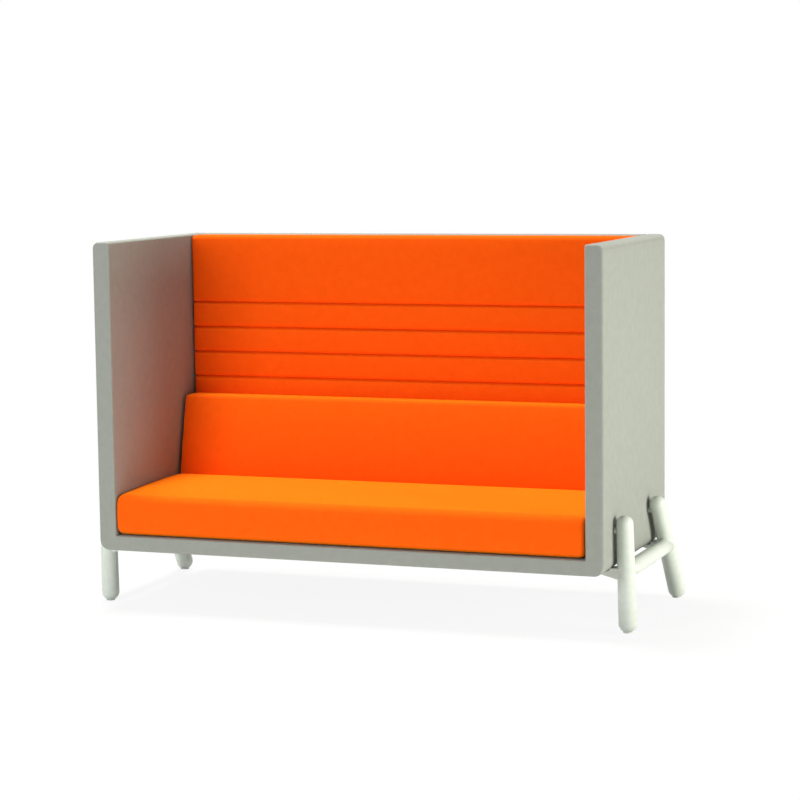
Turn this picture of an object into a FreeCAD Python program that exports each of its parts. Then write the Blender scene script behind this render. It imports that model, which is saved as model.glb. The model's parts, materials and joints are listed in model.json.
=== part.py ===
import FreeCAD, Part
import math
import os

# A high-backed two-seater sofa. A grey upholstered shell of two sides, a back and a low base stands
# on two tube leg frames. It holds a loose seat cushion, a loose lumbar cushion and a channelled pad.
# Millimetres, +Z up, the front faces -Y, and the origin is on the floor under the shell's middle.

Vector = FreeCAD.Vector
ACROSS = Vector(1, 0, 0)
REARWARD = Vector(0, 1, 0)
UP = Vector(0, 0, 1)

# Shell
shell_width = 1750.0
shell_depth = 780.0
shell_top = 1232.0
floor_clearance = 200.0
side_thickness = 60.0
back_thickness = 60.0
base_thickness = 50.0
corner_radius = 34.0
rim_radius = 20.0
rim_inner_radius = 8.0
edge_radius = 6.0

# Layers of the upholstered panels, and the clear space between loose-fitting pieces
cover_thickness = 6.0
skin_thickness = 3.0
fit_gap = 0.3

# An edge lies in a face's plane if it strays from it by less than this
flat_tolerance = 0.01

# Timber inside the panels and the base
stile_width = 80.0
lower_rail_height = 190.0
side_window_columns = 2
back_window_columns = 3
window_rows = 2
rail_width = 70.0
deck_thickness = 12.0
dust_cover_thickness = 2.0
dust_cover_lap = 12.0

# Cushions: each swells by its crown in the middle and is drawn in at mid length by its draw
fabric_thickness = 2.0
strip_thickness = 2.0
strip_width = 50.0
seat_thickness = 144.0
seat_setback = 2.0
seat_side_gap = 4.0
seat_edge_radius = 16.0
seat_end_radius = 10.0
seat_crown = 8.0
seat_length_crown = 4.0
seat_face_swell = 3.0
seat_draw = 3.0
lumbar_height = 416.0
lumbar_foot_depth = 146.0
lumbar_top_depth = 88.0
lumbar_side_gap = 9.0
lumbar_edge_radius = 14.0
lumbar_end_radius = 10.0
lumbar_face_swell = 5.0
lumbar_length_crown = 3.0
cushion_gap = 1.0
cushion_stations = (-1.0, -0.5, 0.0, 0.5, 1.0)
pad_thickness = 92.0
pad_top_drop = 4.0
pad_foot_gap = 12.0
pad_side_gap = 6.0
pad_edge_radius = 14.0
pad_board_thickness = 12.0
pad_top_band = 235.0
pad_channel_pitch = 88.0
pad_channel_count = 4
pad_channel_depth = 7.0
pad_draw = 2.0
pad_strip_count = 4
pad_strip_margin = 120.0
seat_strip_margin = 110.0
seat_strip_end = 100.0

# Leg frames
post_top_radius = 27.0
post_foot_radius = 30.0
post_wall = 2.5
post_gap = 6.0
post_rise = 151.0
front_post_setback = 128.0
front_post_rake = 15.0
front_post_splay = 6.0
rear_post_setback = 233.0
rear_post_rake = 202.0
rear_post_splay = 16.0
crossbar_radius = 26.0
crossbar_drop = 2.0
weld_gap = 0.2
arm_width = 40.0
arm_depth = 34.0
arm_plate = 8.0
arm_taper_length = 60.0
arm_shoulder_angle = 45.0
arm_end_margin = 20.0
glide_height = 5.0
glide_radius = 15.0
standoff_radius = 10.0
standoff_drop = 23.0

# Fasteners
bolt_radius = 4.0
bolt_clearance = 0.5
head_radius = 7.0
head_height = 5.0
washer_radius = 10.0
washer_thickness = 2.0
insert_radius = 6.5
insert_length = 14.0
insert_bore_clearance = 0.1
tee_flange_radius = 11.0
tee_flange_thickness = 2.0
arm_bolt_spacing = 30.0
side_bolt_tip_cover = 5.0
side_bolt_front_inset = 190.0
side_bolt_rear_inset = 150.0
back_bolt_grip = 24.0
back_bolt_spacing = 340.0
back_bolt_count = 4
dowel_radius = 5.0
dowel_grip = 20.0
dowel_spacing = 200.0
dowel_count = 4

# Places that several pieces share
front = -shell_depth / 2
rear = shell_depth / 2
side_inner = shell_width / 2 - side_thickness
side_outer = shell_width / 2
back_front = rear - back_thickness
deck_top = floor_clearance + base_thickness
layer_gap = cover_thickness + fit_gap
frame_gap = layer_gap + skin_thickness
rail_bottom = floor_clearance + layer_gap
rail_top = deck_top - layer_gap - deck_thickness
rail_middle = (rail_bottom + rail_top) / 2
rail_inner = side_inner - layer_gap - rail_width
seat_base = deck_top + strip_thickness + fit_gap
pad_rear = back_front - strip_thickness - fit_gap
pad_front = pad_rear - pad_thickness
pad_top = shell_top - pad_top_drop
pad_foot = deck_top + pad_foot_gap
lumbar_base = deck_top + fit_gap
lumbar_rear = pad_front - cushion_gap
lumbar_front = lumbar_rear - lumbar_foot_depth
seat_front = front + seat_setback
seat_rear = lumbar_front - cushion_gap
post_x = side_outer + post_gap + post_top_radius
post_top_height = floor_clearance + post_rise
crossbar_height = floor_clearance - crossbar_drop
standoff_height = post_top_height - standoff_drop
front_post_y = front + front_post_setback
rear_post_y = rear - rear_post_setback
front_post = {
    "top": Vector(post_x, front_post_y, post_top_height),
    "foot": Vector(post_x + front_post_splay, front_post_y + front_post_rake, post_foot_radius),
}
rear_post = {
    "top": Vector(post_x, rear_post_y, post_top_height),
    "foot": Vector(post_x + rear_post_splay, rear_post_y + rear_post_rake, post_foot_radius),
}
posts = {"front": front_post, "rear": rear_post}

parts = {}


def corner_points(corners):
    """Start, middle and end of the rounding at each corner of an outline."""
    found = []
    for index, (u, v, radius, _) in enumerate(corners):
        here = Vector(u, v, 0)
        if radius == 0:
            found.append((here, here, here))
            continue
        before = corners[index - 1]
        after = corners[(index + 1) % len(corners)]
        back = Vector(before[0] - u, before[1] - v, 0).normalize()
        ahead = Vector(after[0] - u, after[1] - v, 0).normalize()
        half = back.getAngle(ahead) / 2
        reach = radius / math.tan(half)
        inward = (back + ahead).normalize()
        middle = here + inward * (radius / math.sin(half) - radius)
        found.append((here + back * reach, middle, here + ahead * reach))
    return found


def outline(corners, place):
    """Closed wire round corners (u, v, radius, swell), listed anticlockwise.

    Each corner is rounded by its radius, and the edge after it swells outwards by its swell.
    """
    points = corner_points(corners)
    edges = []
    for index, corner in enumerate(corners):
        start, middle, end = points[index]
        following = points[(index + 1) % len(corners)][0]
        if corner[2] > 0:
            edges.append(Part.Arc(place(start), place(middle), place(end)).toShape())
        if corner[3] > 0:
            run = following - end
            outward = Vector(run.y, -run.x, 0).normalize()
            crest = (end + following) * 0.5 + outward * corner[3]
            edges.append(Part.Arc(place(end), place(crest), place(following)).toShape())
        else:
            edges.append(Part.LineSegment(place(end), place(following)).toShape())
    return Part.Wire(edges)


def box(low, high):
    """Box between two corners."""
    size = high - low
    return Part.makeBox(size.x, size.y, size.z, low)


def rod(start, direction, length, radius):
    """Round bar from a point along a direction."""
    return Part.makeCylinder(radius, length, start, direction)


def mirrored(shape):
    """The shape on the other side of the sofa."""
    return shape.mirror(Vector(0, 0, 0), ACROSS)


def softened(form, y_values):
    """The form with the edges of its front and rear faces rounded."""
    edges = []
    for edge in form.Edges:
        bounds = edge.BoundBox
        for y in y_values:
            if bounds.YLength < flat_tolerance and abs(bounds.YMin - y) < flat_tolerance:
                edges.append(edge)
    return form.makeFillet(edge_radius, edges)


def drill(names, start, direction, length, radius):
    """Cuts a round hole through the named pieces."""
    for name in names:
        parts[name] = parts[name].cut(rod(start, direction, length, radius))


def drill_both(names, start, direction, length, radius):
    """Cuts a round hole and its mirror image through the named pieces."""
    hole = rod(start, direction, length, radius)
    for name in names:
        parts[name] = parts[name].cut(hole).cut(mirrored(hole))


def bolt(seat, direction, length):
    """Bolt whose head bears on the seat point and whose shank runs along the direction."""
    shank = rod(seat, direction, length, bolt_radius)
    head = rod(seat - direction * head_height, direction, head_height, head_radius)
    return shank.fuse(head).removeSplitter()


def insert(start, direction):
    """Threaded sleeve that a bolt runs into."""
    sleeve = rod(start, direction, insert_length, insert_radius)
    return sleeve.cut(rod(start, direction, insert_length, bolt_radius + insert_bore_clearance))


def pair(shapes):
    """The shapes together with their mirror images, as separate solids in one group."""
    return Part.makeCompound(shapes + [mirrored(shape) for shape in shapes])


def windows(low, high, columns, rows, bar):
    """Rectangles that lighten a frame: lists of (low u, low v, high u, high v)."""
    width = (high[0] - low[0] - bar * (columns - 1)) / columns
    height = (high[1] - low[1] - bar * (rows - 1)) / rows
    found = []
    for column in range(columns):
        for row in range(rows):
            u = low[0] + column * (width + bar)
            v = low[1] + row * (height + bar)
            found.append((u, v, u + width, v + height))
    return found


def side_form(inset_x, inset):
    """Right side panel, reduced by inset_x in its thickness and by inset all round."""
    low = floor_clearance + inset
    high = shell_top - inset
    inner = side_inner + inset_x
    outer = side_outer - inset_x
    corners = [
        (inner, low, 0, 0),
        (outer, low, max(corner_radius - inset_x, 0), 0),
        (outer, high, max(rim_radius - inset_x, 0), 0),
        (inner, high, max(rim_inner_radius - inset_x, 0), 0),
    ]
    wire = outline(corners, lambda p: Vector(p.x, front + inset, p.y))
    return Part.Face(wire).extrude(REARWARD * (shell_depth - 2 * inset))


def back_form(inset_y, inset):
    """Back panel between the sides, reduced by inset_y in its thickness and by inset all round."""
    low = floor_clearance + inset
    high = shell_top - inset
    corners = [
        (back_front + inset_y, low, 0, 0),
        (rear - inset_y, low, max(edge_radius - inset_y, 0), 0),
        (rear - inset_y, high, max(rim_radius - inset_y, 0), 0),
        (back_front + inset_y, high, max(rim_inner_radius - inset_y, 0), 0),
    ]
    wire = outline(corners, lambda p: Vector(-side_inner + inset, p.x, p.y))
    return Part.Face(wire).extrude(ACROSS * (2 * (side_inner - inset)))


def base_form(inset):
    """Base between the sides and in front of the back, reduced by inset all round."""
    radius = max(edge_radius - inset, 0)
    corners = [
        (front + inset, floor_clearance + inset, radius, 0),
        (back_front - inset, floor_clearance + inset, 0, 0),
        (back_front - inset, deck_top - inset, 0, 0),
        (front + inset, deck_top - inset, radius, 0),
    ]
    wire = outline(corners, lambda p: Vector(-side_inner + inset, p.x, p.y))
    return Part.Face(wire).extrude(ACROSS * (2 * (side_inner - inset)))


def build_side():
    """Right side: timber frame, two skins and the grey cover."""
    outer = softened(side_form(0, 0), (front, rear))
    parts["right_side_cover"] = outer.cut(side_form(cover_thickness, cover_thickness))
    frame = side_form(frame_gap, layer_gap)
    low = (front + layer_gap + stile_width, floor_clearance + lower_rail_height)
    high = (rear - layer_gap - stile_width, shell_top - layer_gap - stile_width)
    for y0, z0, y1, z1 in windows(low, high, side_window_columns, window_rows, stile_width):
        frame = frame.cut(box(Vector(side_inner, y0, z0), Vector(side_outer, y1, z1)))
    parts["right_side_frame"] = frame
    skin_low = Vector(0, front + layer_gap, floor_clearance + corner_radius)
    skin_high = Vector(skin_thickness, rear - layer_gap, shell_top - rim_radius)
    inner_place = ACROSS * (side_inner + layer_gap)
    outer_place = ACROSS * (side_outer - frame_gap)
    parts["right_inner_skin"] = box(skin_low + inner_place, skin_high + inner_place)
    parts["right_outer_skin"] = box(skin_low + outer_place, skin_high + outer_place)


def build_back():
    """Back: timber frame, two skins and the grey cover."""
    parts["back_cover"] = back_form(0, 0).cut(back_form(cover_thickness, cover_thickness))
    frame = back_form(frame_gap, layer_gap)
    reach = side_inner - layer_gap
    low = (-reach + stile_width, deck_top + stile_width)
    high = (reach - stile_width, shell_top - layer_gap - stile_width)
    for x0, z0, x1, z1 in windows(low, high, back_window_columns, window_rows, stile_width):
        frame = frame.cut(box(Vector(x0, back_front, z0), Vector(x1, rear, z1)))
    parts["back_frame"] = frame
    skin_low = Vector(-reach, 0, deck_top)
    skin_high = Vector(reach, skin_thickness, shell_top - rim_radius)
    front_place = REARWARD * (back_front + layer_gap)
    rear_place = REARWARD * (rear - frame_gap)
    parts["back_front_skin"] = box(skin_low + front_place, skin_high + front_place)
    parts["back_rear_skin"] = box(skin_low + rear_place, skin_high + rear_place)


def build_base():
    """Base: five rails under a deck, a grey cover round them and a dust cover in its underside."""
    y0 = front + layer_gap
    y1 = back_front - layer_gap
    x1 = side_inner - layer_gap
    parts["base_right_rail"] = box(Vector(rail_inner, y0, rail_bottom), Vector(x1, y1, rail_top))
    parts["base_front_rail"] = box(
        Vector(-rail_inner, y0, rail_bottom), Vector(rail_inner, y0 + rail_width, rail_top)
    )
    parts["base_rear_rail"] = box(
        Vector(-rail_inner, y1 - rail_width, rail_bottom), Vector(rail_inner, y1, rail_top)
    )
    parts["base_centre_rail"] = box(
        Vector(-rail_width / 2, y0 + rail_width, rail_bottom),
        Vector(rail_width / 2, y1 - rail_width, rail_top),
    )
    parts["seat_deck"] = box(Vector(-x1, y0, rail_top), Vector(x1, y1, rail_top + deck_thickness))
    window_x = rail_inner + dust_cover_lap
    window_y0 = y0 + rail_width - dust_cover_lap
    window_y1 = y1 - rail_width + dust_cover_lap
    window = box(
        Vector(-window_x, window_y0, floor_clearance), Vector(window_x, window_y1, rail_bottom)
    )
    parts["base_cover"] = base_form(0).cut(base_form(cover_thickness)).cut(window)
    parts["dust_cover"] = box(
        Vector(-window_x + fit_gap, window_y0 + fit_gap, rail_bottom - dust_cover_thickness),
        Vector(window_x - fit_gap, window_y1 - fit_gap, rail_bottom),
    )


def lofted(section, half_length):
    """Smooth solid through sections at shares of the half length."""
    wires = []
    for share in cushion_stations:
        wires.append(outline(section(share), lambda p, x=share * half_length: Vector(x, p.x, p.y)))
    return Part.makeLoft(wires, True, False)


def end_rounded(form, half_length, end_radius):
    """A cushion with the edges of its two ends rounded."""
    edges = []
    for edge in form.Edges:
        bounds = edge.BoundBox
        flat = bounds.XLength < flat_tolerance
        if flat and abs(abs(bounds.XMin) - half_length) < flat_tolerance:
            edges.append(edge)
    return form.makeFillet(end_radius, edges)


def seat_form(inset):
    """Seat cushion, reduced by inset all round: flat below, crowned above, rounded edges."""
    radius = seat_edge_radius - inset

    def section(share):
        middle = 1 - share * share
        y0 = seat_front + seat_draw * middle + inset
        y1 = seat_rear - inset
        z0 = seat_base + inset
        z1 = seat_base + seat_thickness + seat_length_crown * middle - inset
        return [
            (y0 + seat_face_swell, z0, radius, 0),
            (y1, z0, radius, 0),
            (y1, z1, radius, seat_crown),
            (y0 + seat_face_swell, z1, radius, seat_face_swell),
        ]

    half_length = side_inner - seat_side_gap - inset
    return end_rounded(lofted(section, half_length), half_length, seat_end_radius - inset)


def lumbar_form(inset):
    """Lumbar cushion, reduced by inset all round: its face leans back above the seat."""
    radius = lumbar_edge_radius - inset

    def section(share):
        middle = 1 - share * share
        y0 = lumbar_front + inset
        y1 = lumbar_rear - inset
        y_top = lumbar_rear - lumbar_top_depth + inset
        z0 = lumbar_base + inset
        z1 = lumbar_base + lumbar_height + lumbar_length_crown * middle - inset
        return [
            (y0, z0, radius, 0),
            (y1, z0, radius, 0),
            (y1, z1, radius, 0),
            (y_top, z1, radius, lumbar_face_swell),
            (y0, seat_base + seat_thickness, 0, 0),
        ]

    half_length = side_inner - lumbar_side_gap - inset
    return end_rounded(lofted(section, half_length), half_length, lumbar_end_radius - inset)


def pad_form(inset, rear_inset):
    """Back pad, reduced by inset all round: a plain top band, then sewn channels down the face."""
    radius = pad_edge_radius - inset

    def section(share):
        seam = pad_front + pad_channel_depth + pad_draw * share * share + inset
        y1 = pad_rear - rear_inset
        z0 = pad_foot + inset
        z1 = pad_top - inset
        corners = [
            (seam, z0, radius, 0),
            (y1, z0, 0, 0),
            (y1, z1, 0, 0),
            (seam, z1, radius, pad_channel_depth),
        ]
        for channel in range(pad_channel_count):
            seam_height = pad_top - pad_top_band - channel * pad_channel_pitch
            corners.append((seam, seam_height, 0, pad_channel_depth))
        return corners

    return lofted(section, side_inner - pad_side_gap - inset)


def build_cushions():
    """Seat cushion, lumbar cushion and back pad: each a foam core in a fabric cover."""
    foam_gap = fabric_thickness + fit_gap
    parts["seat_cover"] = seat_form(0).cut(seat_form(fabric_thickness))
    parts["seat_foam"] = seat_form(foam_gap)
    parts["lumbar_cover"] = lumbar_form(0).cut(lumbar_form(fabric_thickness))
    parts["lumbar_foam"] = lumbar_form(foam_gap)
    board_front = foam_gap + pad_board_thickness
    parts["back_pad_cover"] = pad_form(0, 0).cut(pad_form(fabric_thickness, fabric_thickness))
    parts["back_pad_foam"] = pad_form(foam_gap, board_front)
    board_reach = side_inner - pad_side_gap - foam_gap
    parts["back_pad_board"] = box(
        Vector(-board_reach, pad_rear - board_front, pad_foot + foam_gap),
        Vector(board_reach, pad_rear - foam_gap, pad_top - foam_gap),
    )


def build_strips():
    """Hook strips between the pad and the back, and grip strips between the deck and the seat."""
    reach = side_inner - pad_strip_margin - strip_width / 2
    strips = []
    for index in range(pad_strip_count):
        x = -reach + 2 * reach * index / (pad_strip_count - 1)
        low = Vector(x - strip_width / 2, back_front - strip_thickness, pad_foot + strip_width)
        high = Vector(x + strip_width / 2, back_front, pad_top - strip_width)
        strips.append(box(low, high))
    parts["back_pad_strips"] = Part.makeCompound(strips)
    half_length = side_inner - seat_strip_end
    grips = []
    for y in (seat_front + seat_strip_margin, seat_rear - seat_strip_margin):
        low = Vector(-half_length, y - strip_width / 2, deck_top)
        high = Vector(half_length, y + strip_width / 2, deck_top + strip_thickness)
        grips.append(box(low, high))
    parts["seat_grip_strips"] = Part.makeCompound(grips)


def on_axis(post, height):
    """The point of a post's axis at a height."""
    foot = post["foot"]
    run = post["top"] - foot
    return foot + run * ((height - foot.z) / run.z)


def capsule(post, grow):
    """A post's tapered form with domed ends, its radii grown by an amount."""
    foot_radius = post_foot_radius + grow
    top_radius = post_top_radius + grow
    length = (post["top"] - post["foot"]).Length
    slant = math.sqrt(0.5)
    foot_dome = Part.Arc(
        Vector(0, 0, -foot_radius),
        Vector(foot_radius * slant, 0, -foot_radius * slant),
        Vector(foot_radius, 0, 0),
    )
    flank = Part.LineSegment(Vector(foot_radius, 0, 0), Vector(top_radius, 0, length))
    top_dome = Part.Arc(
        Vector(top_radius, 0, length),
        Vector(top_radius * slant, 0, length + top_radius * slant),
        Vector(0, 0, length + top_radius),
    )
    core = Part.LineSegment(Vector(0, 0, length + top_radius), Vector(0, 0, -foot_radius))
    wire = Part.Wire([piece.toShape() for piece in (foot_dome, flank, top_dome, core)])
    form = Part.Face(wire).revolve(Vector(0, 0, 0), UP, 360)
    turn = FreeCAD.Rotation(UP, post["top"] - post["foot"])
    form.Placement = FreeCAD.Placement(post["foot"], turn)
    return form


def above(form, height, centre):
    """The part of a form above a height."""
    reach = 2 * post_foot_radius
    low = Vector(centre.x - reach, centre.y - reach, height - reach)
    high = Vector(centre.x + reach, centre.y + reach, height)
    return form.cut(box(low, high))


def build_legs():
    """Right leg frame: two hollow posts, a coped crossbar, two arms, glides and standoffs."""
    bar_start = on_axis(front_post, crossbar_height)
    bar_end = on_axis(rear_post, crossbar_height)
    bar_run = bar_end - bar_start
    bar_length = bar_run.Length
    bar_form = rod(bar_start, bar_run, bar_length, crossbar_radius)
    bar = bar_form.cut(rod(bar_start, bar_run, bar_length, crossbar_radius - post_wall))
    bar_clear = rod(bar_start, bar_run, bar_length, crossbar_radius + weld_gap)
    for end, post in posts.items():
        foot = post["foot"]
        outer = above(capsule(post, 0), glide_height, foot)
        hollow = above(capsule(post, -post_wall), glide_height + post_wall, foot)
        clear = capsule(post, weld_gap)
        parts[f"right_{end}_post"] = outer.cut(hollow)
        bar = bar.cut(clear)
        parts[f"right_{end}_arm"] = arm_form(post).cut(clear).cut(bar_clear)
        parts[f"right_{end}_glide"] = rod(Vector(foot.x, foot.y, 0), UP, glide_height, glide_radius)
        standoff_start = on_axis(post, standoff_height)
        standoff_start.x = side_outer + fit_gap
        standoff = rod(standoff_start, ACROSS, post_x - standoff_start.x, standoff_radius)
        parts[f"right_{end}_standoff"] = standoff.cut(clear)
    parts["right_crossbar"] = bar


def arm_form(post):
    """Bracket arm from a post's axis inwards under the shell: deep at the post, then a flat plate.

    Its shoulder rises outside the shell's rounded lower corner, along a tangent to it.
    """
    top = floor_clearance - fit_gap
    root = on_axis(post, top - arm_depth / 2)
    tip = rail_inner + rail_width / 2 - arm_bolt_spacing / 2 - arm_end_margin
    taper = side_outer - arm_taper_length
    angle = math.radians(arm_shoulder_angle)
    reach = (corner_radius + fit_gap) * math.tan(angle / 2)
    shoulder = side_outer - corner_radius + reach
    shoulder_top = top + reach * math.sin(angle)
    corners = [
        (root.x, top - arm_depth, 0, 0),
        (root.x, shoulder_top, 0, 0),
        (shoulder + reach * math.cos(angle), shoulder_top, 0, 0),
        (shoulder, top, 0, 0),
        (tip, top, 0, 0),
        (tip, top - arm_plate, 0, 0),
        (taper, top - arm_plate, 0, 0),
    ]
    wire = outline(corners, lambda p: Vector(p.x, root.y - arm_width / 2, p.y))
    return Part.Face(wire).extrude(REARWARD * arm_width)


def fasten_posts():
    """Bolts from inside each side, through a standoff, into a sleeve in the post's wall."""
    hole = bolt_radius + bolt_clearance
    recess = head_radius + bolt_clearance
    bolts = []
    sleeves = []
    for end, post in posts.items():
        axis = on_axis(post, standoff_height)
        seat = Vector(side_inner + frame_gap + head_height, axis.y, axis.z)
        skin = Vector(side_inner, axis.y, axis.z)
        post_surface = post_radius_at(post, standoff_height)
        sleeve_start = Vector(axis.x - post_surface + post_wall / 2, axis.y, axis.z)
        opened = ["right_side_cover", "right_inner_skin", "right_side_frame"]
        drill(opened, skin, ACROSS, seat.x - skin.x, recess)
        passed = ["right_side_frame", "right_outer_skin", "right_side_cover", f"right_{end}_standoff"]
        drill(passed, seat, ACROSS, axis.x - seat.x, hole)
        entry = Vector(side_outer, axis.y, axis.z)
        sleeve_hole = insert_radius + insert_bore_clearance
        drill([f"right_{end}_post"], entry, ACROSS, axis.x - entry.x, sleeve_hole)
        bolts.append(bolt(seat, ACROSS, sleeve_start.x + insert_length - seat.x))
        sleeves.append(insert(sleeve_start, ACROSS))
    parts["standoff_bolts"] = pair(bolts)
    parts["post_inserts"] = pair(sleeves)


def post_radius_at(post, height):
    """A post's radius where its axis passes a height."""
    foot_z = post["foot"].z
    share = (height - foot_z) / (post["top"].z - foot_z)
    return post_foot_radius + (post_top_radius - post_foot_radius) * share


def fasten_arms():
    """Two bolts up through each arm into tee nuts on the base's end rails, on washers."""
    hole = bolt_radius + bolt_clearance
    bolts = []
    washers = []
    nuts = []
    for end, post in posts.items():
        arm_top = floor_clearance - fit_gap
        y = on_axis(post, arm_top - arm_depth / 2).y
        for offset in (-arm_bolt_spacing / 2, arm_bolt_spacing / 2):
            x = rail_inner + rail_width / 2 + offset
            washer_top = Vector(x, y, arm_top - arm_plate)
            seat = washer_top - UP * washer_thickness
            flange = Vector(x, y, rail_top - tee_flange_thickness)
            drill([f"right_{end}_arm", "base_right_rail"], seat, UP, rail_top - seat.z, hole)
            drill_both(["base_cover"], seat, UP, rail_bottom - seat.z, hole)
            recess = tee_flange_radius + bolt_clearance
            drill(["base_right_rail"], flange, UP, tee_flange_thickness, recess)
            barrel = insert_radius + bolt_clearance
            drill(["base_right_rail"], flange - UP * insert_length, UP, insert_length, barrel)
            bolts.append(bolt(seat, UP, rail_top - seat.z))
            washer = rod(seat, UP, washer_thickness, washer_radius)
            washers.append(washer.cut(rod(seat, UP, washer_thickness, hole)))
            nuts.append(tee_nut(flange))
    parts["arm_bolts"] = pair(bolts)
    parts["arm_washers"] = pair(washers)
    parts["arm_tee_nuts"] = pair(nuts)


def tee_nut(flange):
    """Nut with a wide flange above and a threaded barrel below it."""
    plate = rod(flange, UP, tee_flange_thickness, tee_flange_radius)
    barrel = rod(flange - UP * insert_length, UP, insert_length, insert_radius)
    bore_start = flange - UP * insert_length
    bore_length = insert_length + tee_flange_thickness
    bore = rod(bore_start, UP, bore_length, bolt_radius + insert_bore_clearance)
    return plate.fuse(barrel).removeSplitter().cut(bore)


def side_frame_reach(height):
    """How far out the right side frame reaches at a height, inside its rounded lower corner."""
    radius = corner_radius - frame_gap
    drop = max(floor_clearance + layer_gap + radius - height, 0)
    return side_outer - frame_gap - radius + math.sqrt(radius * radius - drop * drop)


def fasten_sides():
    """Bolts from the base's end rails into sleeves in the side frames."""
    hole = bolt_radius + bolt_clearance
    tip = side_frame_reach(rail_middle - hole) - side_bolt_tip_cover
    bolts = []
    sleeves = []
    for y in (front + side_bolt_front_inset, 0, back_front - side_bolt_rear_inset):
        seat = Vector(rail_inner, y, rail_middle)
        frame_face = Vector(side_inner + frame_gap, y, rail_middle)
        drill(["base_right_rail"], seat, ACROSS, rail_width, hole)
        drill_both(["base_cover"], seat, ACROSS, side_inner - seat.x, hole)
        opened = ["right_side_cover", "right_inner_skin"]
        drill(opened, seat, ACROSS, frame_face.x - seat.x, hole)
        drill(["right_side_frame"], frame_face, ACROSS, tip - frame_face.x, hole)
        sleeve_hole = insert_radius + insert_bore_clearance
        drill(["right_side_frame"], frame_face, ACROSS, insert_length, sleeve_hole)
        bolts.append(bolt(seat, ACROSS, tip - seat.x))
        sleeves.append(insert(frame_face, ACROSS))
    parts["side_bolts"] = pair(bolts)
    parts["side_bolt_inserts"] = pair(sleeves)


def fasten_back():
    """Bolts from the base's rear rail into the back frame, and dowels between back and sides."""
    hole = bolt_radius + bolt_clearance
    rail_face = back_front - layer_gap - rail_width
    bolts = []
    sleeves = []
    for index in range(back_bolt_count):
        x = (index - (back_bolt_count - 1) / 2) * back_bolt_spacing
        seat = Vector(x, rail_face, rail_middle)
        frame_face = Vector(x, back_front + frame_gap, rail_middle)
        opened = ["base_rear_rail", "base_cover", "back_cover"]
        drill(opened, seat, REARWARD, frame_face.y - seat.y, hole)
        drill(["back_frame"], frame_face, REARWARD, back_bolt_grip, hole)
        sleeve_hole = insert_radius + insert_bore_clearance
        drill(["back_frame"], frame_face, REARWARD, insert_length, sleeve_hole)
        bolts.append(bolt(seat, REARWARD, frame_face.y + back_bolt_grip - seat.y))
        sleeves.append(insert(frame_face, REARWARD))
    parts["back_bolts"] = Part.makeCompound(bolts)
    parts["back_bolt_inserts"] = Part.makeCompound(sleeves)
    y = (back_front + rear) / 2
    start_x = side_inner - layer_gap - dowel_grip
    length = layer_gap + frame_gap + 2 * dowel_grip
    top_height = shell_top - dowel_spacing
    dowels = []
    for index in range(dowel_count):
        start = Vector(start_x, y, top_height - index * dowel_spacing)
        dowels.append(rod(start, ACROSS, length, dowel_radius))
        dowel_hole = dowel_radius + fit_gap
        drill_both(["back_frame", "back_cover"], start, ACROSS, length, dowel_hole)
        opened = ["right_side_cover", "right_inner_skin", "right_side_frame"]
        drill(opened, start, ACROSS, length, dowel_hole)
    parts["back_dowels"] = pair(dowels)


def mirror_right_pieces():
    """Left-hand pieces are the right-hand ones on the other side."""
    for name in list(parts):
        if "right_" in name:
            parts[name.replace("right_", "left_")] = mirrored(parts[name])


def export_parts():
    """One file per piece."""
    os.makedirs("parts", exist_ok=True)
    for name, shape in parts.items():
        shape.exportStep(f"parts/{name}.step")


build_side()
build_back()
build_base()
build_cushions()
build_strips()
build_legs()
fasten_posts()
fasten_arms()
fasten_sides()
fasten_back()
mirror_right_pieces()
export_parts()
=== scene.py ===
"""Looks of a high-backed two-seater sofa: a fabric shell, cushions, a channelled pad and tube legs."""

import json
import logging
import math
from dataclasses import dataclass, field, replace
from enum import Enum

import bmesh
import bpy
import numpy as np
from mathutils import Matrix, Vector


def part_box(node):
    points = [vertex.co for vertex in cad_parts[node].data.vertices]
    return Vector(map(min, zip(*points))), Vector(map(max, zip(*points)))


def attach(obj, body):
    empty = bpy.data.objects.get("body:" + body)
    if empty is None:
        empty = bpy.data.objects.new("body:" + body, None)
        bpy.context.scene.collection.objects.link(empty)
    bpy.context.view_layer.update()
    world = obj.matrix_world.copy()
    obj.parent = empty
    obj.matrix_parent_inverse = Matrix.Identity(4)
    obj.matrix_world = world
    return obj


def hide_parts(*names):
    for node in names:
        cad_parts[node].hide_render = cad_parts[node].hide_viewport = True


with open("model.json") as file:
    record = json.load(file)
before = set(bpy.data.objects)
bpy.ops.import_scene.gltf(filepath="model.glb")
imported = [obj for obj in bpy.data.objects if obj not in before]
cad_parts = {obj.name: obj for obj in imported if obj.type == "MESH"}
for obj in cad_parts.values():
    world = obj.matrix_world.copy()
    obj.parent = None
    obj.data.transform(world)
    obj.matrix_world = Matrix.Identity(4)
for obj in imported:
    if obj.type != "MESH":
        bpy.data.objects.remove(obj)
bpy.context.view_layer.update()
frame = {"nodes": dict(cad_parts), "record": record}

TAU = 2 * math.pi
WELD_DISTANCE = 1e-6
RIPPLE_WAVES = 4
RIPPLE_FINER = 1.6
RIPPLE_WEAKER = 0.7
UV_NAME = "cloth"
HELD_NAME = "held"

Colour = tuple[float, float, float]
WHITE: Colour = (1.0, 1.0, 1.0)

log = logging.getLogger("sofa")


class Slot(Enum):
    """The record's material slots."""

    GREY_FABRIC = "grey_fabric"
    ORANGE_FABRIC = "orange_fabric"
    FOAM = "foam"
    HARDBOARD = "hardboard"
    TIMBER = "timber"
    DUST_CLOTH = "dust_cloth"
    HOOK_TAPE = "hook_tape"
    GLIDE_PLASTIC = "glide_plastic"
    WHITE_PAINT = "white_paint"
    ZINC_STEEL = "zinc_steel"


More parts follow.
